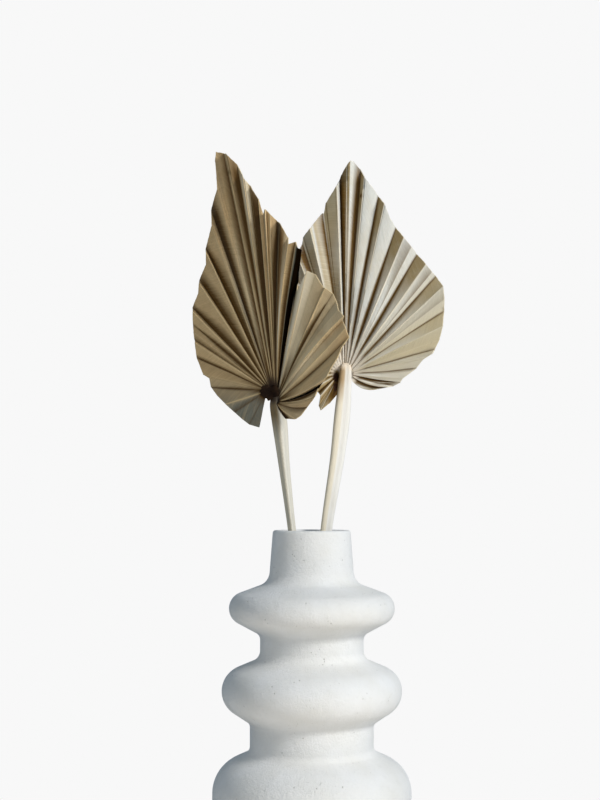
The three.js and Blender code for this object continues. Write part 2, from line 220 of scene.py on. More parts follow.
RIGHT_LEAF = {
    "place": (20, 14, 282.6),
    "seed": 19,
    "turn": (-0.05, -0.35),
    "root": [
        (0, -3.4, 0, -2.2), (8, -4.7, 0.3, 0.4), (14, -4.2, 0, 3), (20, -1.8, 0, 5.4), (29, 0.8, 0, 6),
        (38, 3.2, -0.5, 4.6), (44, 4.8, -1, 2.4), (50, 5.4, -1.2, 1), (55, 5.6, -1, -0.8),
        (57, 5.2, -1, -2.4), (58, 5, -1, -4.2),
    ],
    "edge": [
        (-3.9, -12, 3.5), (-8.8, -17.8, 5), (-14.5, -22.5, 6.5), (-15.5, -19.5, 4.5), (-14.5, -13.5, 6),
        (-16, -11, 3), (-20, -10, 6), (-22.5, -7, 2.5), (-26, -4, 5), (-28, 1, 1), (-31, 6.5, 3.6),
        (-33, 13.5, -0.4), (-35, 20.5, 2.6), (-36, 29.5, -1.4), (-36.5, 38.5, 2), (-35.5, 48, -2),
        (-34, 57, 2.2), (-31.5, 66, -2), (-29, 74, 2.4), (-25.5, 81.5, -2.4), (-25, 85.5, -1.8),
        (-21, 90, 2.6), (-13.5, 100.5, -3), (-12, 100.5, -3.2), (-11, 106.5, -2), (-4.5, 116, 4.2),
        (-2.5, 121, -4.4), (-1.5, 124, -3.6), (2, 129.5, 1.4), (4, 132, 1.6), (6, 131.5, 0.2),
        (10.5, 126.5, -2.8), (12.5, 121, 1.8), (18.5, 113, -0.2), (21, 109.5, -2.2), (24.5, 103.5, 2.2),
        (28, 94.5, 0.4), (31.5, 89, -2.2), (36, 82, 2.2), (40.5, 76.5, 0.6), (44, 72, -2.2),
        (49, 65, 2.2), (52.5, 60.5, 0.4), (55, 58, -1.8), (58.9, 51, 2), (59.6, 43.5, 1.2),
        (59.6, 36.5, -1.6), (58.5, 27, 1.4), (56.5, 19, 0.8), (54, 13.5, -1.4), (52.5, 11, 1.4),
        (47, 7.5, 1), (43, 2.5, -1.4), (35, -3.5, 1.4), (33.5, -6, 0.4), (29.5, -7.8, -1.4),
        (26, -8.5, 1.4), (23, -8.8, -1.6), (19.5, -9.5, 0.4),
    ],
    "bows": [(0, 0), (44, 0), (47, -0.4), (52, 0.3), (55, 0.7), (57, 2), (58, 2.2)],
    "painted_tones": [
        (0, -1, -1), (9, -1, -0.6), (12, -0.9, 0.4), (14, -0.9, 0.6), (15, -0.9, 0), (16.8, -0.8, 0),
        (17, -0.8, 2), (18, -0.8, 1.6), (18.4, -0.8, -0.6), (19, -0.8, 1.2), (21, -0.8, 1.2),
        (21.3, -0.8, -0.8), (22.6, -0.7, 0.4), (24.8, -0.6, 0.9), (25, 0, 0), (39, 0, 0),
        (44, 0.5, 0.4), (50, 1.3, 1.3), (56, 1.6, 1.8), (57.1, 0.6, 0.6), (57.3, 0.2, 0.2),
        (58, 0.2, 0.2),
    ],
    "painted_fold_shades": [
        (0, 3.4, 2, 1.35), (3.3, 0.6, 0.6, 0.7), (5, -1.2, -1, 1.4), (9, 0.4, 0.15, 0.7),
        (11, -0.1, -0.9, 1.3), (11, 0.1, 0.4, 1), (16.2, 0.3, -1.3, 1.3), (16.2, -0.3, 0.9, 1.4),
        (19, -0.2, -1.25, 1.3), (22, -0.2, -0.5, 0.8), (22, 2.4, 1, 0.9), (26, -0.3, -0.3, 1),
        (26, 3.2, 2.6, 1.5), (31, -2.1, -1.1, 1.15), (31, 0.3, 0.5, 0.9), (34, -1.1, -0.2, 1.4),
        (34, 0.7, 0.5, 1), (37, -0.7, -0.1, 1.2), (37, 0.7, 0.1, 1), (39, -0.1, -1.2, 0.45),
        (40, -0.5, -0.1, 1), (40, 0.7, 0.1, 1), (42, -0.1, -0.9, 0.45), (43, 0.8, 0.1, 0.8),
        (45, -0.1, -0.6, 0.25), (46, 0.2, 0.1, 0.4), (49, -0.3, -0.3, 0.5), (49, 0.9, 0.1, 0.8),
        (52, 0.6, 0.4, 0.6), (53.9, 1.1, 0.2, 1.5), (56.2, 0.9, 0.9, 1.5),
    ],
    "lines": [(21, 1.0)],
    "root_shade": 0.0,
    "joint": 6,
    "knot_groove_shade": 0.2,
    "spots": [
        (-4.9, -1.8, 3.4, 5.8, 2.0), (-5.4, -8, 2.6, 6.5, 1.7), (10.6, 109.7, 1.6, 1.8, 1),
        (60.2, 38, 2.2, 1.6, 0.8), (60.2, 31, 2.2, 1.6, 0.8), (25, -6.4, 9, 1, 0.8),
    ],
    "hub": ((0.4, 0.6, 1.2), (5.8, 1.1, 6.8), 0.0, 0.06),
}

# The stems: (height, x, y, radius) from the vase's floor to the leaf. The collar is the length that
# takes on the joint's colours and the painted shade below the leaf, and a stem's direction is read
# LOOK_AHEAD further up.
STEM_SIDES = 48
STEM_RINGS = 150
STEM_FULLNESS = 1.1
STEM_EDGES = 3
STEM_EDGE_RISE = 0.2
STEM_GRAIN = 0.02
STEM_WAVES_ROUND = 2.5
STEM_WAVES_UP = 0.03
SIDE_SHARPNESS = 3
LOOK_AHEAD = 0.5
COLLAR = 26
LEFT_STEM = [
    (5.3, 12, -5, 2.6), (95, 0, -7.8, 2.4), (188, -11.7, -10, 2.4), (226, -16.3, -11, 3.3),
    (254, -19.3, -12, 4.6), (262.2, -20.7, -12, 4.2), (267, -21.4, -12.4, 3),
]
RIGHT_STEM = [
    (5.3, -12, 9, 3.4), (95, -1, 10.6, 3.4), (188, 8.6, 11.7, 3.6), (231, 15.2, 12.6, 4.4),
    (258, 18.4, 13.2, 5), (277.8, 20.1, 13.6, 4.1), (283, 20.5, 13.6, 3.8), (287.6, 20.8, 14.2, 3.3),
    (289.4, 20.9, 14.6, 1.8),
]


def clamp(value, low=0.0, high=1.0):
    return max(low, min(high, value))


def mixed(a, b, share):
    """A value between a and b."""
    return a + (b - a) * share


def between(rows, column, at):
    """A value between rows, with a smooth slope through each row."""
    last = len(rows) - 1
    i = 0
    while i < last - 1 and at > rows[i + 1][0]:
        i += 1

    def slope(k):
        a, b = rows[max(k - 1, 0)], rows[min(k + 1, last)]
        return (b[column] - a[column]) / (b[0] - a[0])

    span = rows[i + 1][0] - rows[i][0]
    t = (at - rows[i][0]) / span
    start, end = rows[i][column], rows[i + 1][column]
    return ((2 * t ** 3 - 3 * t ** 2 + 1) * start + (t ** 3 - 2 * t ** 2 + t) * span * slope(i)
            + (3 * t ** 2 - 2 * t ** 3) * end + (t ** 3 - t ** 2) * span * slope(i + 1))


def straight(rows, column, at):
    """A value between rows, in straight lines."""
    for low, high in zip(rows, rows[1:]):
        if at <= high[0]:
            return low[column] + (high[column] - low[column]) * (at - low[0]) / (high[0] - low[0])
    return rows[-1][column]


def part_way(reach):
    """Where a place is between half way up the blade, 0, and near its rim, 1."""
    return clamp((reach - 0.5) / 0.4, -0.5, 1.1)


def shade_at(painted_fold_shades, crease, reach):
    """How dark the painted shade is at a place beside the shaded folds."""
    deepest = 0.0
    for fold, near, far, depth in painted_fold_shades:
        side = -1 if near + far < 0 else 1
        spread = max(NARROWEST_SHADE, side * mixed(near, far, part_way(reach)))
        apart = side * (crease - fold) / spread
        if 0 <= apart < 1:
            deepest = max(deepest, min(max(1.0, depth), SHADE_SHARPNESS * depth * (1 - apart)))
    return deepest


def spot_at(spots, across, up):
    """How dark the spots make a place on the blade, the painted shade by the joint among them."""
    deepest = 0.0
    for x, z, wide, high, depth in spots:
        apart = math.hypot((across - x) / wide, (up - z) / high)
        deepest = max(deepest, min(DEEPEST, depth * SPOT_SHARPNESS * (1 - apart)))
    return deepest


def color(red, green, blue):
    """A colour from its three parts between 0 and 255, as read off a screen."""
    parts = [channel / 255 for channel in (red, green, blue)]
    linear = [p / 12.92 if p <= 0.04045 else ((p + 0.055) / 1.055) ** 2.4 for p in parts]
    return (*linear, 1.0)


# Colours. On the right blade the side colour is painted shade on facets that turn from the light. The
# light, cream and shade colours are painted light and shade by tone, and the gap colour is painted
# shadow. The deep brown is that of fibres and specks and of the painted shade in folds, and the blade's
# pit colour is the darkest painted shade. The ridge colour is that of veins and of painted highlights
# on crests. The knot colour is painted shade in the joint's pleats and hollow, and on the left blade
# the hub colour is too. In the inner half of a blade, the inner side shade is how much of the side
# colour it takes, and the inner glow how much of the cream its crests take there.
# The painted shadow in deep gaps and slits
PAINTED_GAP_SHADOW = color(16, 9, 3)
LEFT_COLORS = {
    "face": color(212, 180, 132), "side": color(216, 186, 138), "light": color(222, 202, 164),
    "painted_shade": color(130, 130, 118), "patch": color(174, 142, 100), "deep_brown_and_painted_shade": color(88, 61, 20),
    "ridge": color(226, 200, 152), "rim": color(222, 200, 156), "hub": color(56, 38, 20),
    "pit": color(30, 16, 8), "painted_knot_shade": color(44, 28, 16), "painted_cream_light": color(253, 242, 218),
    "inner_painted_side_shade": 1.0, "inner_painted_glow": 0.0,
}
RIGHT_COLORS = {
    "face": color(231, 232, 226), "side": color(182, 157, 110), "light": color(224, 210, 174),
    "painted_shade": color(180, 156, 108), "patch": color(212, 202, 174), "deep_brown_and_painted_shade": color(106, 77, 26),
    "ridge": color(238, 228, 206), "rim": color(236, 226, 204), "hub": color(250, 238, 222),
    "pit": color(48, 24, 12), "painted_knot_shade": color(122, 98, 56), "painted_cream_light": color(253, 250, 240),
    "inner_painted_side_shade": 0.2, "inner_painted_glow": 1.0,
}
LEFT_STEM_COLORS = {
    "face": color(222, 218, 206), "side": color(206, 198, 178), "scar": color(190, 182, 158),
    "edge": color(170, 154, 118), "painted_shade_below_leaf": color(126, 106, 72), "tip": color(52, 36, 22),
}
RIGHT_STEM_COLORS = {
    "face": color(240, 238, 233), "side": color(232, 222, 200), "scar": color(222, 214, 192),
    "edge": color(222, 206, 178), "painted_shade_below_leaf": color(180, 152, 112), "tip": color(244, 228, 206),
}
CLAY_COLORS = {
    "light": color(238, 238, 237), "mottle": color(231, 230, 226), "coarse": color(206, 205, 201),
    "pit": color(140, 136, 128),
}


# Materials
class Nodes:
    """Short calls for building one material's nodes."""

    def __init__(self, name):
        self.material = bpy.data.materials.new(name)
        self.material.use_nodes = True
        self.tree = self.material.node_tree
        self.surface = self.tree.nodes["Principled BSDF"]

    def put(self, socket, value):
        if isinstance(value, bpy.types.NodeSocket):
            self.tree.links.new(value, socket)
        elif value is not None:
            socket.default_value = value

    def attribute(self, name, output="Fac"):
        node = self.tree.nodes.new("ShaderNodeAttribute")
        node.attribute_name = name
        return node.outputs[output]

    def place(self):
        return self.tree.nodes.new("ShaderNodeTexCoord").outputs["Object"]

    def times(self, a, b):
        node = self.tree.nodes.new("ShaderNodeMath")
        node.operation = "MULTIPLY"
        self.put(node.inputs[0], a)
        self.put(node.inputs[1], b)
        return node.outputs[0]

    def stretch(self, vector, scale):
        node = self.tree.nodes.new("ShaderNodeVectorMath")
        node.operation = "MULTIPLY"
        self.put(node.inputs[0], vector)
        self.put(node.inputs[1], scale)
        return node.outputs[0]

    def length(self, vector):
        node = self.tree.nodes.new("ShaderNodeVectorMath")
        node.operation = "LENGTH"
        self.put(node.inputs[0], vector)
        return node.outputs["Value"]

    def noise(self, vector, scale, detail=3.0, roughness=0.5, distortion=0.0):
        node = self.tree.nodes.new("ShaderNodeTexNoise")
        self.put(node.inputs["Vector"], vector)
        node.inputs["Scale"].default_value = scale
        node.inputs["Detail"].default_value = detail
        node.inputs["Roughness"].default_value = roughness
        node.inputs["Distortion"].default_value = distortion
        return node.outputs["Fac"]

    def cells(self, vector, scale):
        node = self.tree.nodes.new("ShaderNodeTexVoronoi")
        self.put(node.inputs["Vector"], vector)
        node.inputs["Scale"].default_value = scale
        return node.outputs["Distance"]

    def span(self, value, low, high, start=0.0, end=1.0):
        """From start to end as the value goes from low to high."""
        node = self.tree.nodes.new("ShaderNodeMapRange")
        self.put(node.inputs["Value"], value)
        node.inputs["From Min"].default_value = low
        node.inputs["From Max"].default_value = high
        node.inputs["To Min"].default_value = start
        node.inputs["To Max"].default_value = end
        return node.outputs[0]

    def mix(self, amount, a, b):
        """From colour a to colour b. The node's inputs 6 and 7 and its output 2 are the colours."""
        node = self.tree.nodes.new("ShaderNodeMix")
        node.data_type = "RGBA"
        self.put(node.inputs["Factor"], amount)
        self.put(node.inputs[6], a)
        self.put(node.inputs[7], b)
        return node.outputs[2]

    def bump(self, height, strength, distance, below=None):
        node = self.tree.nodes.new("ShaderNodeBump")
        node.inputs["Strength"].default_value = strength
        node.inputs["Distance"].default_value = distance
        self.put(node.inputs["Height"], height)
        self.put(node.inputs["Normal"], below)
        return node.outputs[0]

    def shader(self, name, value):
        self.put(self.surface.inputs[name], value)


def blade_material(name, colors):
    """Dried palm blade: fibres along the folds, painted shade in valleys and highlights on ridges, pale
    cut edge.
    """
    n = Nodes(name)
    flow = n.attribute("flow", "Vector")
    reach, dark, tone = n.attribute("reach"), n.attribute("dark"), n.attribute("tone")
    side, crest, ridge = n.attribute("side"), n.attribute("crest"), n.attribute("ridge")
    rim, hub = n.attribute("rim"), n.attribute("hub")
    fibres = n.noise(n.stretch(flow, (1.0, 0.035, 1.0)), 2.6, 5.0, 0.65, 0.3)
    veins = n.noise(n.stretch(flow, (1.0, 0.02, 1.0)), 0.9, 3.0, 0.55, 0.2)
    patches = n.noise(n.place(), 42.0, 4.0, 0.6, 0.4)
    ripples = n.noise(n.stretch(flow, (0.35, 1.0, 1.0)), 0.55, 3.0, 0.6)

    # The plain colour, with painted shade on facets that turn from the light, and painted light and
    # shade by tone
    painted_side_shade = n.times(side, n.span(reach, 0.4, 0.85, colors["inner_painted_side_shade"], 1.0))
    base = n.mix(painted_side_shade, colors["face"], colors["side"])
    base = n.mix(n.span(tone, 0.0, 1.0), base, colors["light"])
    base = n.mix(n.span(tone, 0.0, -1.0), base, colors["painted_shade"])

    # Patches, fibres and veins, then painted highlights on the crests and a painted glow on them near
    # the root
    base = n.mix(n.span(patches, 0.45, 0.75, 0.0, 0.5), base, colors["patch"])
    base = n.mix(n.span(fibres, 0.4, 0.72, 0.0, 0.26), base, colors["deep_brown_and_painted_shade"])
    base = n.mix(n.span(veins, 0.55, 0.75, 0.0, 0.35), base, colors["ridge"])
    painted_crest_highlight = n.times(crest, n.span(reach, 0.1, 1.0, 1.0, 0.45))
    base = n.mix(n.span(painted_crest_highlight, 0.45, 1.0, 0.0, 0.55), base, colors["ridge"])
    # A painted glow on the crests of rising facets near the root
    glow = n.times(n.times(side, crest), n.span(reach, 0.4, 0.85, colors["inner_painted_glow"], 0.0))
    base = n.mix(n.times(glow, n.span(tone, -0.6, -0.2)), base, colors["painted_cream_light"])
    # Painted light, up to cream where the tone goes past 1
    base = n.mix(n.span(tone, 1.0, 2.0), base, colors["painted_cream_light"])

    # Painted shade in the folds, the joint's colour and painted shade, the painted highlight ridges
    # keep over that shade, the darkest painted shade, and the pale cut edge
    painted_fold_shade = n.times(n.span(dark, 0.0, 1.0), n.span(reach, 0.93, 1.0, 1.0, 0.7))
    streaks = n.span(fibres, 0.3, 0.7, 0.88, 1.18)
    base = n.mix(n.times(painted_fold_shade, streaks), base, colors["deep_brown_and_painted_shade"])
    base = n.mix(hub, base, colors["hub"])
    base = n.mix(n.times(hub, n.span(dark, 0.0, 1.0)), base, colors["painted_knot_shade"])
    base = n.mix(n.times(ridge, n.span(dark, 0.9, 1.4, 0.85, 0.3)), base, colors["ridge"])
    base = n.mix(n.span(dark, 1.0, DEEPEST), base, colors["pit"])
    base = n.mix(n.times(rim, 0.6), base, colors["rim"])

    # Scattered specks, and the painted shadow in the gaps
    specks = n.cells(n.stretch(flow, (1.0, 0.45, 1.0)), 0.42)
    speck_fade = n.span(n.noise(n.place(), 65.0, 2.0), 0.56, 0.64)
    base = n.mix(n.times(n.span(specks, 0.16, 0.08, 0.0, 0.55), speck_fade), base, colors["deep_brown_and_painted_shade"])
    base = n.mix(n.span(tone, -1.0, -2.0), base, PAINTED_GAP_SHADOW)

    n.shader("Base Color", base)
    n.shader("Roughness", n.span(fibres, 0.3, 0.7, 0.6, 0.8))
    n.shader("Specular IOR Level", n.span(tone, -2.0, -0.5, 0.0, 0.2))
    fine = n.bump(fibres, 0.45, 0.0004)
    wide = n.bump(ripples, 0.25, 0.0012, fine)
    n.shader("Normal", n.bump(veins, 0.3, 0.0006, wide))
    return n.material


def stem_material(name, colors):
    """Dried leaf stalk: long fibres, faint blotches, and painted shade on its left side, deepest below
    the leaf.
    """
    n = Nodes(name)
    side, top = n.attribute("side"), n.attribute("top")
    fibres = n.noise(n.stretch(n.attribute("flow", "Vector"), (1.0, 0.03, 1.0)), 2.2, 6.0, 0.65, 0.25)
    blotches = n.noise(n.stretch(n.place(), (1.0, 1.0, 0.35)), 70.0, 3.0, 0.6)
    # Painted shade on the left side, and more of it below the leaf
    base = n.mix(side, colors["face"], colors["side"])
    base = n.mix(n.span(fibres, 0.4, 0.72, 0.0, 0.4), base, colors["scar"])
    base = n.mix(n.span(blotches, 0.55, 0.75, 0.0, 0.3), base, colors["edge"])
    base = n.mix(n.span(top, 0.5, 1.0, 0.0, 0.55), base, colors["edge"])
    base = n.mix(n.times(side, n.span(top, 0.0, 0.6)), base, colors["painted_shade_below_leaf"])
    base = n.mix(n.span(top, 0.8, 0.93, 0.0, 0.9), base, colors["tip"])
    n.shader("Base Color", base)
    n.shader("Roughness", n.span(fibres, 0.3, 0.7, 0.45, 0.68))
    n.shader("Specular IOR Level", 0.4)
    n.shader("Normal", n.bump(fibres, 0.5, 0.0005))
    return n.material


def ceramic_material():
    """Matt unglazed white clay: fine grit, small pits and a faint mottle."""
    n = Nodes("vase_ceramic_grit")
    place = n.place()
    grit = n.noise(place, 900.0, 6.0, 0.7)
    coarse = n.noise(place, 260.0, 4.0, 0.6)
    mottle = n.noise(place, 38.0, 4.0, 0.55)
    pits = n.span(n.cells(place, 420.0), 0.22, 0.1)
    holes = n.times(pits, n.span(n.noise(place, 120.0, 2.0), 0.58, 0.68))
    base = n.mix(n.span(mottle, 0.35, 0.7), CLAY_COLORS["light"], CLAY_COLORS["mottle"])
    base = n.mix(n.span(coarse, 0.56, 0.78, 0.0, 0.2), base, CLAY_COLORS["coarse"])
    base = n.mix(n.times(holes, 0.4), base, CLAY_COLORS["pit"])
    n.shader("Base Color", base)
    n.shader("Roughness", 0.85)
    n.shader("Specular IOR Level", 0.25)
    fine = n.bump(grit, 0.9, 0.0005)
    rough = n.bump(coarse, 0.45, 0.0008, fine)
    n.shader("Normal", n.bump(n.times(holes, -1.0), 0.8, 0.0006, rough))
    return n.material


# Meshes
def add_object(name, points, faces, material, node, attributes=None):
    """A smooth piece that stands for a node, from points in millimetres, with values at its points."""
    mesh = bpy.data.meshes.new(name)
    mesh.from_pydata([Vector(p) * MM for p in points], [], faces)
    mesh.update()
    for key, values in (attributes or {}).items():
        if isinstance(values[0], tuple):
            layer = mesh.attributes.new(key, "FLOAT_VECTOR", "POINT")
            layer.data.foreach_set("vector", [number for value in values for number in value])
        else:
            layer = mesh.attributes.new(key, "FLOAT", "POINT")
            layer.data.foreach_set("value", values)
    mesh.polygons.foreach_set("use_smooth", [True] * len(mesh.polygons))
    mesh.materials.append(material)
    piece = bpy.data.objects.new(name, mesh)
    scene.collection.objects.link(piece)
    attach(piece, "root")
    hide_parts(node)


def tube_faces(rings, sides, first=0):
    """Faces round a tube of points in rings, starting at point first, with both ends closed."""
    faces = []
    for ring in range(rings):
        for side in range(sides):
            a = first + ring * sides + side
            b = first + ring * sides + (side + 1) % sides
            faces.append((a, b, b + sides, a + sides))
    last = first + rings * sides
    faces.append(tuple(first + side for side in range(sides - 1, -1, -1)))
    faces.append(tuple(last + side for side in range(sides)))
    return faces


# The vase, turned from its outline
def heading(start, end):
    """The direction from one corner of an outline to another."""
    return Vector((end[0] - start[0], end[1] - start[1])).normalized()


def rounded_outline(corners):
    """Points along the outline, each corner rounded off by an arc, straight runs cut in short steps.

    It comes in along the vase's underside and leaves straight down inside the neck.
    """
    outline = []
    for i, (radius, height, rounding) in enumerate(corners):
        corner = Vector((radius, height))
        to_before = heading(corners[i], corners[i - 1]) if i else Vector((-1, 0))
        to_after = heading(corners[i], corners[i + 1]) if i < len(corners) - 1 else Vector((0, -1))
        half = math.acos(clamp(to_before.dot(to_after), -1)) / 2
        centre = corner + (to_before + to_after).normalized() * (rounding / math.sin(half))
        tangent = rounding / math.tan(half)
        start = corner + to_before * tangent - centre
        end = corner + to_after * tangent - centre
        turn = math.atan2(start.x * end.y - start.y * end.x, start.dot(end))
        steps = max(2, math.ceil(abs(math.degrees(turn)) / VASE_ARC_STEP))
        if outline:
            begin = outline[-1]
            gap = centre + start - begin
            pieces = max(1, round(gap.length / VASE_STRAIGHT_STEP))
            outline += [begin + gap * (k / pieces) for k in range(1, pieces)]
        angles = [turn * step / steps for step in range(steps + 1)]
        outline += [centre + Matrix.Rotation(angle, 2) @ start for angle in angles]
    return outline


def inside_outline(outside):
    """The inside's points from below the lip to its floor, one wall's thickness in from the outside."""
    inside = []
    for i in range(len(outside) - 2, 0, -1):
        along = (outside[i + 1] - outside[i - 1]).normalized()
        point = Vector((outside[i].x - along.y * WALL, outside[i].y + along.x * WALL))
        last = inside[-1] if inside else outside[-1]
        under_lip = outside[i].y < VASE_HEIGHT - LIP_DEPTH
        if under_lip and last.y - INSIDE_STEP > point.y > FLOOR:
            inside.append(point)
    return inside + [Vector((INSIDE_FLOOR_RADIUS, FLOOR))]


def make_vase():
    outside = rounded_outline(VASE_CORNERS)
    profile = outside + inside_outline(outside)
    points = []
    for step in range(VASE_SIDES):
        angle = 2 * math.pi * step / VASE_SIDES
        east, north = math.cos(angle), math.sin(angle)
        for spot in profile:
            place = (east * VASE_WAVES_ROUND, north * VASE_WAVES_ROUND, spot.y * VASE_WAVES_UP)
            radius = spot.x + min(0, noise.noise(Vector(place)) - 0.5) * VASE_UNEVEN
            points.append((radius * east, radius * north, spot.y))
    rows = len(profile)
    under, within = len(points), len(points) + 1
    points += [(0, 0, 0), (0, 0, FLOOR)]
    faces, ends = [], []
    for step in range(VASE_SIDES):
        here, ahead = step * rows, (step + 1) % VASE_SIDES * rows
        faces += [(here + k, ahead + k, ahead + k + 1, here + k + 1) for k in range(rows - 1)]
        ends += [(under, ahead, here), (within, here + rows - 1, ahead + rows - 1)]
    add_object("ringed_vase", points, faces + ends, ceramic_material(), "vase")


# The pleated blades
def column_offsets(width):
    """How far along a facet's end its columns are, with extra ones for the ribs at both sides."""
    if width <= FEW_RIB_WIDTHS * RIB_WIDTH:
        return [0, width / 3, 2 * width / 3]
    inner = width - 2 * RIB_WIDTH
    pieces = max(1, round(inner / COLUMN_STEP))
    offsets = [RIB_WIDTH + inner * i / pieces for i in range(pieces + 1)]
    return [0, RIB_WIDTH / 2] + offsets + [width - RIB_WIDTH / 2]


def crease_columns(leaf):
    """Columns round the leaf, from its root to the trimmed edge, with their place among the creases."""
    turn_left, turn_right = leaf["turn"]
    ends = []
    for across, up, stand in leaf["edge"]:
        turn = turn_left if across < 0 else turn_right
        ends.append(Vector((across, turn * across - stand, up)))
    last = len(ends) - 1
    roots = [Vector(between(leaf["root"], part, k) for part in (1, 2, 3)) for k in range(last + 1)]
    stands = [row[2] for row in leaf["edge"]]
    folds = []
    for k, stand in enumerate(stands):
        beside = (stands[max(k - 1, 0)] + stands[min(k + 1, last)]) / 2
        folds.append(clamp((stand - beside) / FULL_FOLD, -1.0))
    for k, fold in leaf["lines"]:
        folds[k] = fold
    columns = []
    gone = 0.0
    for k in range(last):
        width = (ends[k + 1] - ends[k]).length
        offsets = column_offsets(width)
        if k == last - 1:
            offsets.append(width)
        for offset in offsets:
            t = offset / width
            columns.append({
                "root": roots[k].lerp(roots[k + 1], t), "end": ends[k].lerp(ends[k + 1], t),
                "facet": k, "t": t, "width": width, "across": gone + offset,
                "rises": stands[k + 1] > stands[k], "fold": (folds[k], folds[k + 1]),
            })
        gone += width
    return columns


def column_reaches(length):
    """The stations up a column as shares of its length, with a narrow last strip for the rim."""
    strip = min(RIM_STRIP / length, 0.5 / STATIONS)
    return [station / STATIONS for station in range(STATIONS)] + [1 - strip, 1.0]


def column_points(leaf, column, bulge, values):
    """One column's points from root to rim, with what the material reads at each put in values."""
    t, width, (fold_left, fold_right) = column["t"], column["width"], column["fold"]
    crease = column["facet"] + t
    seed = leaf["seed"] * 3.7
    along = column["end"] - column["root"]
    length = along.length
    facing = Vector((0, -1, 0))
    sideways = along.normalized().cross(facing).normalized()
    bow = between(leaf["bows"], 1, crease)
    ragged = 1 - RAGGED * abs(noise.noise(Vector((column["across"] * RAGGED_WAVES, seed, 0))))
    tone_near, tone_far = (straight(leaf["painted_tones"], k, crease) for k in (1, 2))
    high = max(0.0, fold_left) * (1 - t) + max(0.0, fold_right) * t
    points = []
    for reach in column_reaches(length):
        point = column["root"] + along * (reach * (ragged if reach > RAGGED_FROM else 1.0))
        point += sideways * (4 * bow * reach * (1 - reach))
        point += facing * (bulge * BULGE * width * reach * 4 * t * (1 - t))
        wander = noise.noise(Vector((crease * WANDER_WAVES[0], reach * WANDER_WAVES[1], seed)))
        sway = noise.noise(Vector((crease * SWAY_WAVES[0], reach * SWAY_WAVES[1], seed + 9)))
        loose = reach * (1 - WANDER_EASE * reach)
        point += facing * (WANDER * wander * loose)
        point += sideways * (SWAY * sway * loose * (1 - reach))
        from_left, from_right = t * width * reach, (1 - t) * width * reach
        rib_left = max(0.0, 1 - from_left / RIB_WIDTH)
        rib_right = max(0.0, 1 - from_right / RIB_WIDTH)
        rib = fold_left * rib_left ** 2 + fold_right * rib_right ** 2
        grow = min(1.0, reach * RIB_GROWTH)
        point += facing * (RIB_RISE * rib * grow)
        points.append(point)

        ridge = max(0.0, fold_left) * rib_left + max(0.0, fold_right) * rib_right
        # Painted shade along valley creases
        valley_shade_left = max(0.0, -fold_left) * max(0.0, 1 - from_left / VALLEY_SHADE_WIDTH)
        valley_shade_right = max(0.0, -fold_right) * max(0.0, 1 - from_right / VALLEY_SHADE_WIDTH)
        valley_shade = min(VALLEY_SHADE_DARK, VALLEY_SHADE_SHARPNESS * max(valley_shade_left, valley_shade_right))
        # Painted shade beside the listed folds
        painted_shade = shade_at(leaf["painted_fold_shades"], crease, reach)
        spot = spot_at(leaf["spots"], point.x, point.z)
        # Painted shade towards the stem, less on ridges
        root_shade = min(1.0, leaf["root_shade"] * (1 - reach / ROOT_SHADE_REACH) * (1 - RIDGES_SPARED * high))
        found = {
            "ridge": min(1.0, ridge * grow),
            "crest": high,
            "dark": max(painted_shade, spot, valley_shade * clamp(VALLEY_SHADE_GROWTH * reach - VALLEY_SHADE_START), root_shade),
            # Rising facets take the painted side shade.
            "side": 1.0 if column["rises"] else 0.0,
            "reach": reach,
            "rim": 1.0 if reach == 1 else 0.0,
            # The tone paints light and shade by crease.
            "tone": mixed(tone_near, tone_far, clamp(part_way(reach))),
            "hub": max(0.0, 1 - reach * leaf["joint"]),
            "flow": (column["across"] * mixed(FIBRES_AT_ROOT, 1, reach), reach * length, seed),
        }
        for key, value in found.items():
            values.setdefault(key, []).append(value)
    return points


def thickened(grid):
    """Front and back points of a sheet whose middle is a grid of points, and all its faces."""
    wide, rows = len(grid), len(grid[0])
    front, back = [], []
    for i in range(wide):
        for j in range(rows):
            left, right = grid[max(i - 1, 0)][j], grid[min(i + 1, wide - 1)][j]
            down, up = grid[i][max(j - 1, 0)], grid[i][min(j + 1, rows - 1)]
            normal = (right - left).cross(up - down).normalized()
            half = normal * (BLADE_THICKNESS / 2)
            front.append(grid[i][j] + half)
            back.append(grid[i][j] - half)

    def at(i, j):
        return i * rows + j

    shift = len(front)
    faces = []
    for i in range(wide - 1):
        for j in range(rows - 1):
            quad = (at(i, j), at(i + 1, j), at(i + 1, j + 1), at(i, j + 1))
            faces.append(quad)
            faces.append(tuple(k + shift for k in reversed(quad)))
    rim = [at(i, 0) for i in range(wide)]
    rim += [at(wide - 1, j) for j in range(1, rows)]
    rim += [at(i, rows - 1) for i in range(wide - 2, -1, -1)]
    rim += [at(0, j) for j in range(rows - 2, 0, -1)]
    for a, b in zip(rim, rim[1:] + rim[:1]):
        faces.append((b, a, a + shift, b + shift))
    return front + back, faces


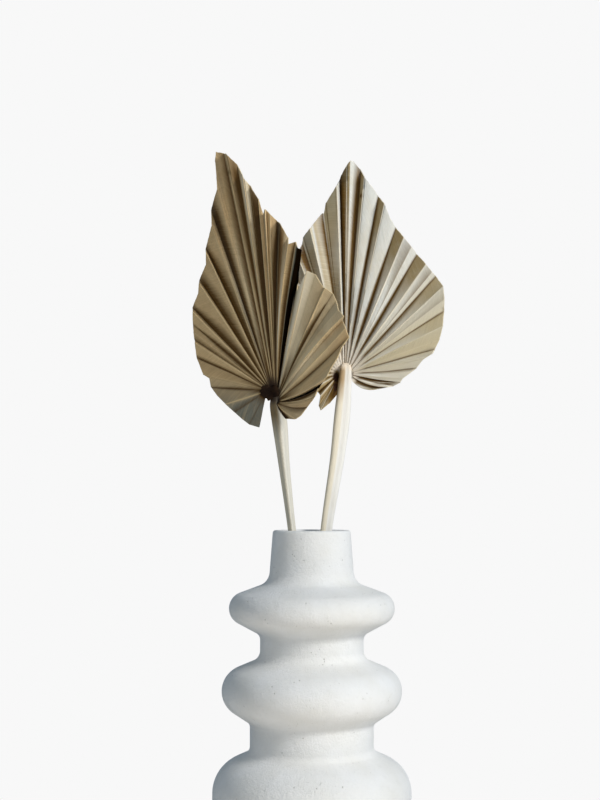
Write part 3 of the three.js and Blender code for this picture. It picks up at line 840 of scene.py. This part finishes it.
def add_hub(leaf, points, faces, values):
    """The knot where the creases meet, added to the blade's points, faces and values."""
    middle, size, tone, lump = leaf["hub"]
    faces += tube_faces(HUB_RINGS, HUB_SIDES, len(points))
    for ring in range(HUB_RINGS + 1):
        lift = math.pi * ring / HUB_RINGS
        wide = math.sin(lift)
        for side in range(HUB_SIDES):
            turn = 2 * math.pi * side / HUB_SIDES
            out = Vector((wide * math.cos(turn), math.cos(lift), wide * math.sin(turn)))
            pleat = math.sin(turn * HUB_FOLDS) * wide
            uneven = noise.noise(out * HUB_WAVES + Vector((leaf["seed"], 0, 0)))
            grow = 1 + HUB_FOLD_SHARE * lump * pleat + lump * uneven
            if out.y < 0:
                out.y *= 1 - HUB_DENT * math.cos(lift) ** 2
            point = Vector(middle) + Vector(a * b * grow for a, b in zip(out, size))
            points.append(point)
            for key in ("ridge", "crest", "side", "reach", "rim"):
                values[key].append(0.0)
            spot = spot_at(leaf["spots"], point.x, point.z)
            # The knot's dark is painted shade in its pleat grooves, with the spots; a tone below 0
            # paints it in shade.
            values["dark"].append(max(spot, -leaf["knot_groove_shade"] * pleat))
            values["hub"].append(1.0)
            values["tone"].append(tone)
            values["flow"].append((turn * size[0], lift * size[0], 5.0))


def make_blade(name, leaf, material, node):
    draw = random.Random(leaf["seed"])
    bulges = [draw.uniform(*BULGE_RANGE) for _ in leaf["edge"][1:]]
    values = {}
    grid = [column_points(leaf, column, bulges[column["facet"]], values)
            for column in crease_columns(leaf)]
    points, faces = thickened(grid)
    values = {key: found + found for key, found in values.items()}
    add_hub(leaf, points, faces, values)
    place = Vector(leaf["place"])
    add_object(name, [place + point for point in points], faces, material, node, values)


# The stems
def stem_middle(rows, height):
    return Vector((between(rows, 1, height), between(rows, 2, height), height))


def make_stem(name, rows, twist, material, node):
    """A stem with STEM_EDGES soft edges, the first of them twist degrees round from the front."""
    low, high = rows[0][0], rows[-1][0]
    points, side, top, flow = [], [], [], []
    for ring in range(STEM_RINGS + 1):
        height = low + (high - low) * ring / STEM_RINGS
        middle = stem_middle(rows, height)
        along = (stem_middle(rows, height + LOOK_AHEAD) - middle).normalized()
        right = along.cross(Vector((0, -1, 0))).normalized()
        front = right.cross(along).normalized()
        radius = between(rows, 3, height)
        for step in range(STEM_SIDES):
            angle = 2 * math.pi * step / STEM_SIDES
            place = (math.cos(angle) * STEM_WAVES_ROUND, math.sin(angle) * STEM_WAVES_ROUND,
                     height * STEM_WAVES_UP)
            grain = noise.noise(Vector(place))
            edge = math.cos(STEM_EDGES * (angle - math.radians(twist)))
            shape = STEM_FULLNESS - STEM_EDGE_RISE + STEM_EDGE_RISE * edge + STEM_GRAIN * grain
            forward, across = radius * shape * math.cos(angle), radius * shape * math.sin(angle)
            points.append(middle + front * forward + right * across)
            # The left side takes the painted shade
            side.append(clamp(0.5 - SIDE_SHARPNESS * math.sin(angle)))
            top.append(max(0.0, 1 - (high - height) / COLLAR))
            flow.append((radius * angle, height, 0.0))
    faces = tube_faces(STEM_RINGS, STEM_SIDES)
    add_object(name, points, faces, material, node, {"side": side, "top": top, "flow": flow})


make_vase()
make_blade("left_pleated_blade", LEFT_LEAF, blade_material("left_dried_blade", LEFT_COLORS),
           "left_leaf_blade")
make_blade("right_pleated_blade", RIGHT_LEAF, blade_material("right_dried_blade", RIGHT_COLORS),
           "right_leaf_blade")
make_stem("left_long_stem", LEFT_STEM, 0, stem_material("left_dried_stem", LEFT_STEM_COLORS),
          "left_leaf_stem")
make_stem("right_long_stem", RIGHT_STEM, 75, stem_material("right_dried_stem", RIGHT_STEM_COLORS),
          "right_leaf_stem")

# Camera
CAMERA_LENS = 66.0
CAMERA_PLACE = (-0.007, -0.880, 0.206)
CAMERA_TILT_UP = 3.9
camera_data = bpy.data.cameras.new("camera")
camera_data.lens = CAMERA_LENS
camera = bpy.data.objects.new("camera", camera_data)
camera.location = CAMERA_PLACE
camera.rotation_euler = (math.radians(90 + CAMERA_TILT_UP), 0, 0)
scene.collection.objects.link(camera)
scene.camera = camera

# Light: a soft lamp from the right front, two weaker warm ones from the left and from below, and a
# cool even fill. A lamp's azimuth is from the viewer's side, clockwise to the right.
scene.view_settings.view_transform = "Standard"
LAMPS_AIM = Vector((0, 0, 0.22))
FILL_COLOR = (0.68, 0.86, 1.05, 1)
FILL_STRENGTH = 0.29


def add_lamp(name, azimuth, elevation, distance, size, power, tint):
    """A round soft lamp aimed at the leaves."""
    data = bpy.data.lights.new(name, "AREA")
    data.shape = "DISK"
    data.size = size
    data.energy = power
    data.color = tint
    lamp = bpy.data.objects.new(name, data)
    a, e = math.radians(azimuth), math.radians(elevation)
    away = Vector((math.sin(a) * math.cos(e), -math.cos(a) * math.cos(e), math.sin(e)))
    lamp.location = LAMPS_AIM + away * distance
    lamp.rotation_euler = (-away).to_track_quat("-Z", "Y").to_euler()
    lamp.visible_camera = False
    scene.collection.objects.link(lamp)


add_lamp("key", 50, 25, 2.0, 0.6, 32.5, (1.0, 0.985, 0.96))
add_lamp("front_fill", -20, -5, 2.0, 1.2, 7, (1.0, 0.88, 0.7))
add_lamp("floor_glow", 15, -60, 1.5, 1.2, 7.5, (1.0, 0.87, 0.69))
world = bpy.data.worlds.new("world")
scene.world = world
world.use_nodes = True
background = world.node_tree.nodes["Background"]
background.inputs["Color"].default_value = FILL_COLOR
background.inputs["Strength"].default_value = FILL_STRENGTH

# Floor and backdrop: plain and pale, shaded only close to the foot and glowing evenly further out
GLOW_COLOR = (0.9387, 0.9387, 0.9387, 1)
FLOOR_COLOR = (0.93, 0.93, 0.93, 1)
SHADED_REACH = 0.06
GLOW_REACH = 0.13
FLOOR_RADIUS = 4
DOME_RADIUS = 6


def pale_material():
    n = Nodes("pale_backdrop")
    n.shader("Base Color", FLOOR_COLOR)
    n.shader("Roughness", 0.9)
    glow = n.tree.nodes.new("ShaderNodeEmission")
    glow.inputs["Color"].default_value = GLOW_COLOR
    blend = n.tree.nodes.new("ShaderNodeMixShader")
    n.put(blend.inputs[0], n.span(n.length(n.place()), SHADED_REACH, GLOW_REACH))
    n.put(blend.inputs[1], n.surface.outputs[0])
    n.put(blend.inputs[2], glow.outputs[0])
    output = next(node for node in n.tree.nodes if node.type == "OUTPUT_MATERIAL")
    n.put(output.inputs["Surface"], blend.outputs[0])
    return n.material


def add_stage(name, material):
    """The object just made becomes part of the stage: seen by the camera, but casting nothing."""
    piece = bpy.context.object
    piece.name = name
    piece.data.materials.append(material)
    piece.visible_diffuse = False
    piece.visible_glossy = False
    piece.visible_transmission = False
    piece.visible_shadow = False


backdrop = pale_material()
bpy.ops.mesh.primitive_circle_add(vertices=64, radius=FLOOR_RADIUS, fill_type="NGON")
add_stage("floor", backdrop)
bpy.ops.mesh.primitive_uv_sphere_add(radius=DOME_RADIUS)
add_stage("dome", backdrop)
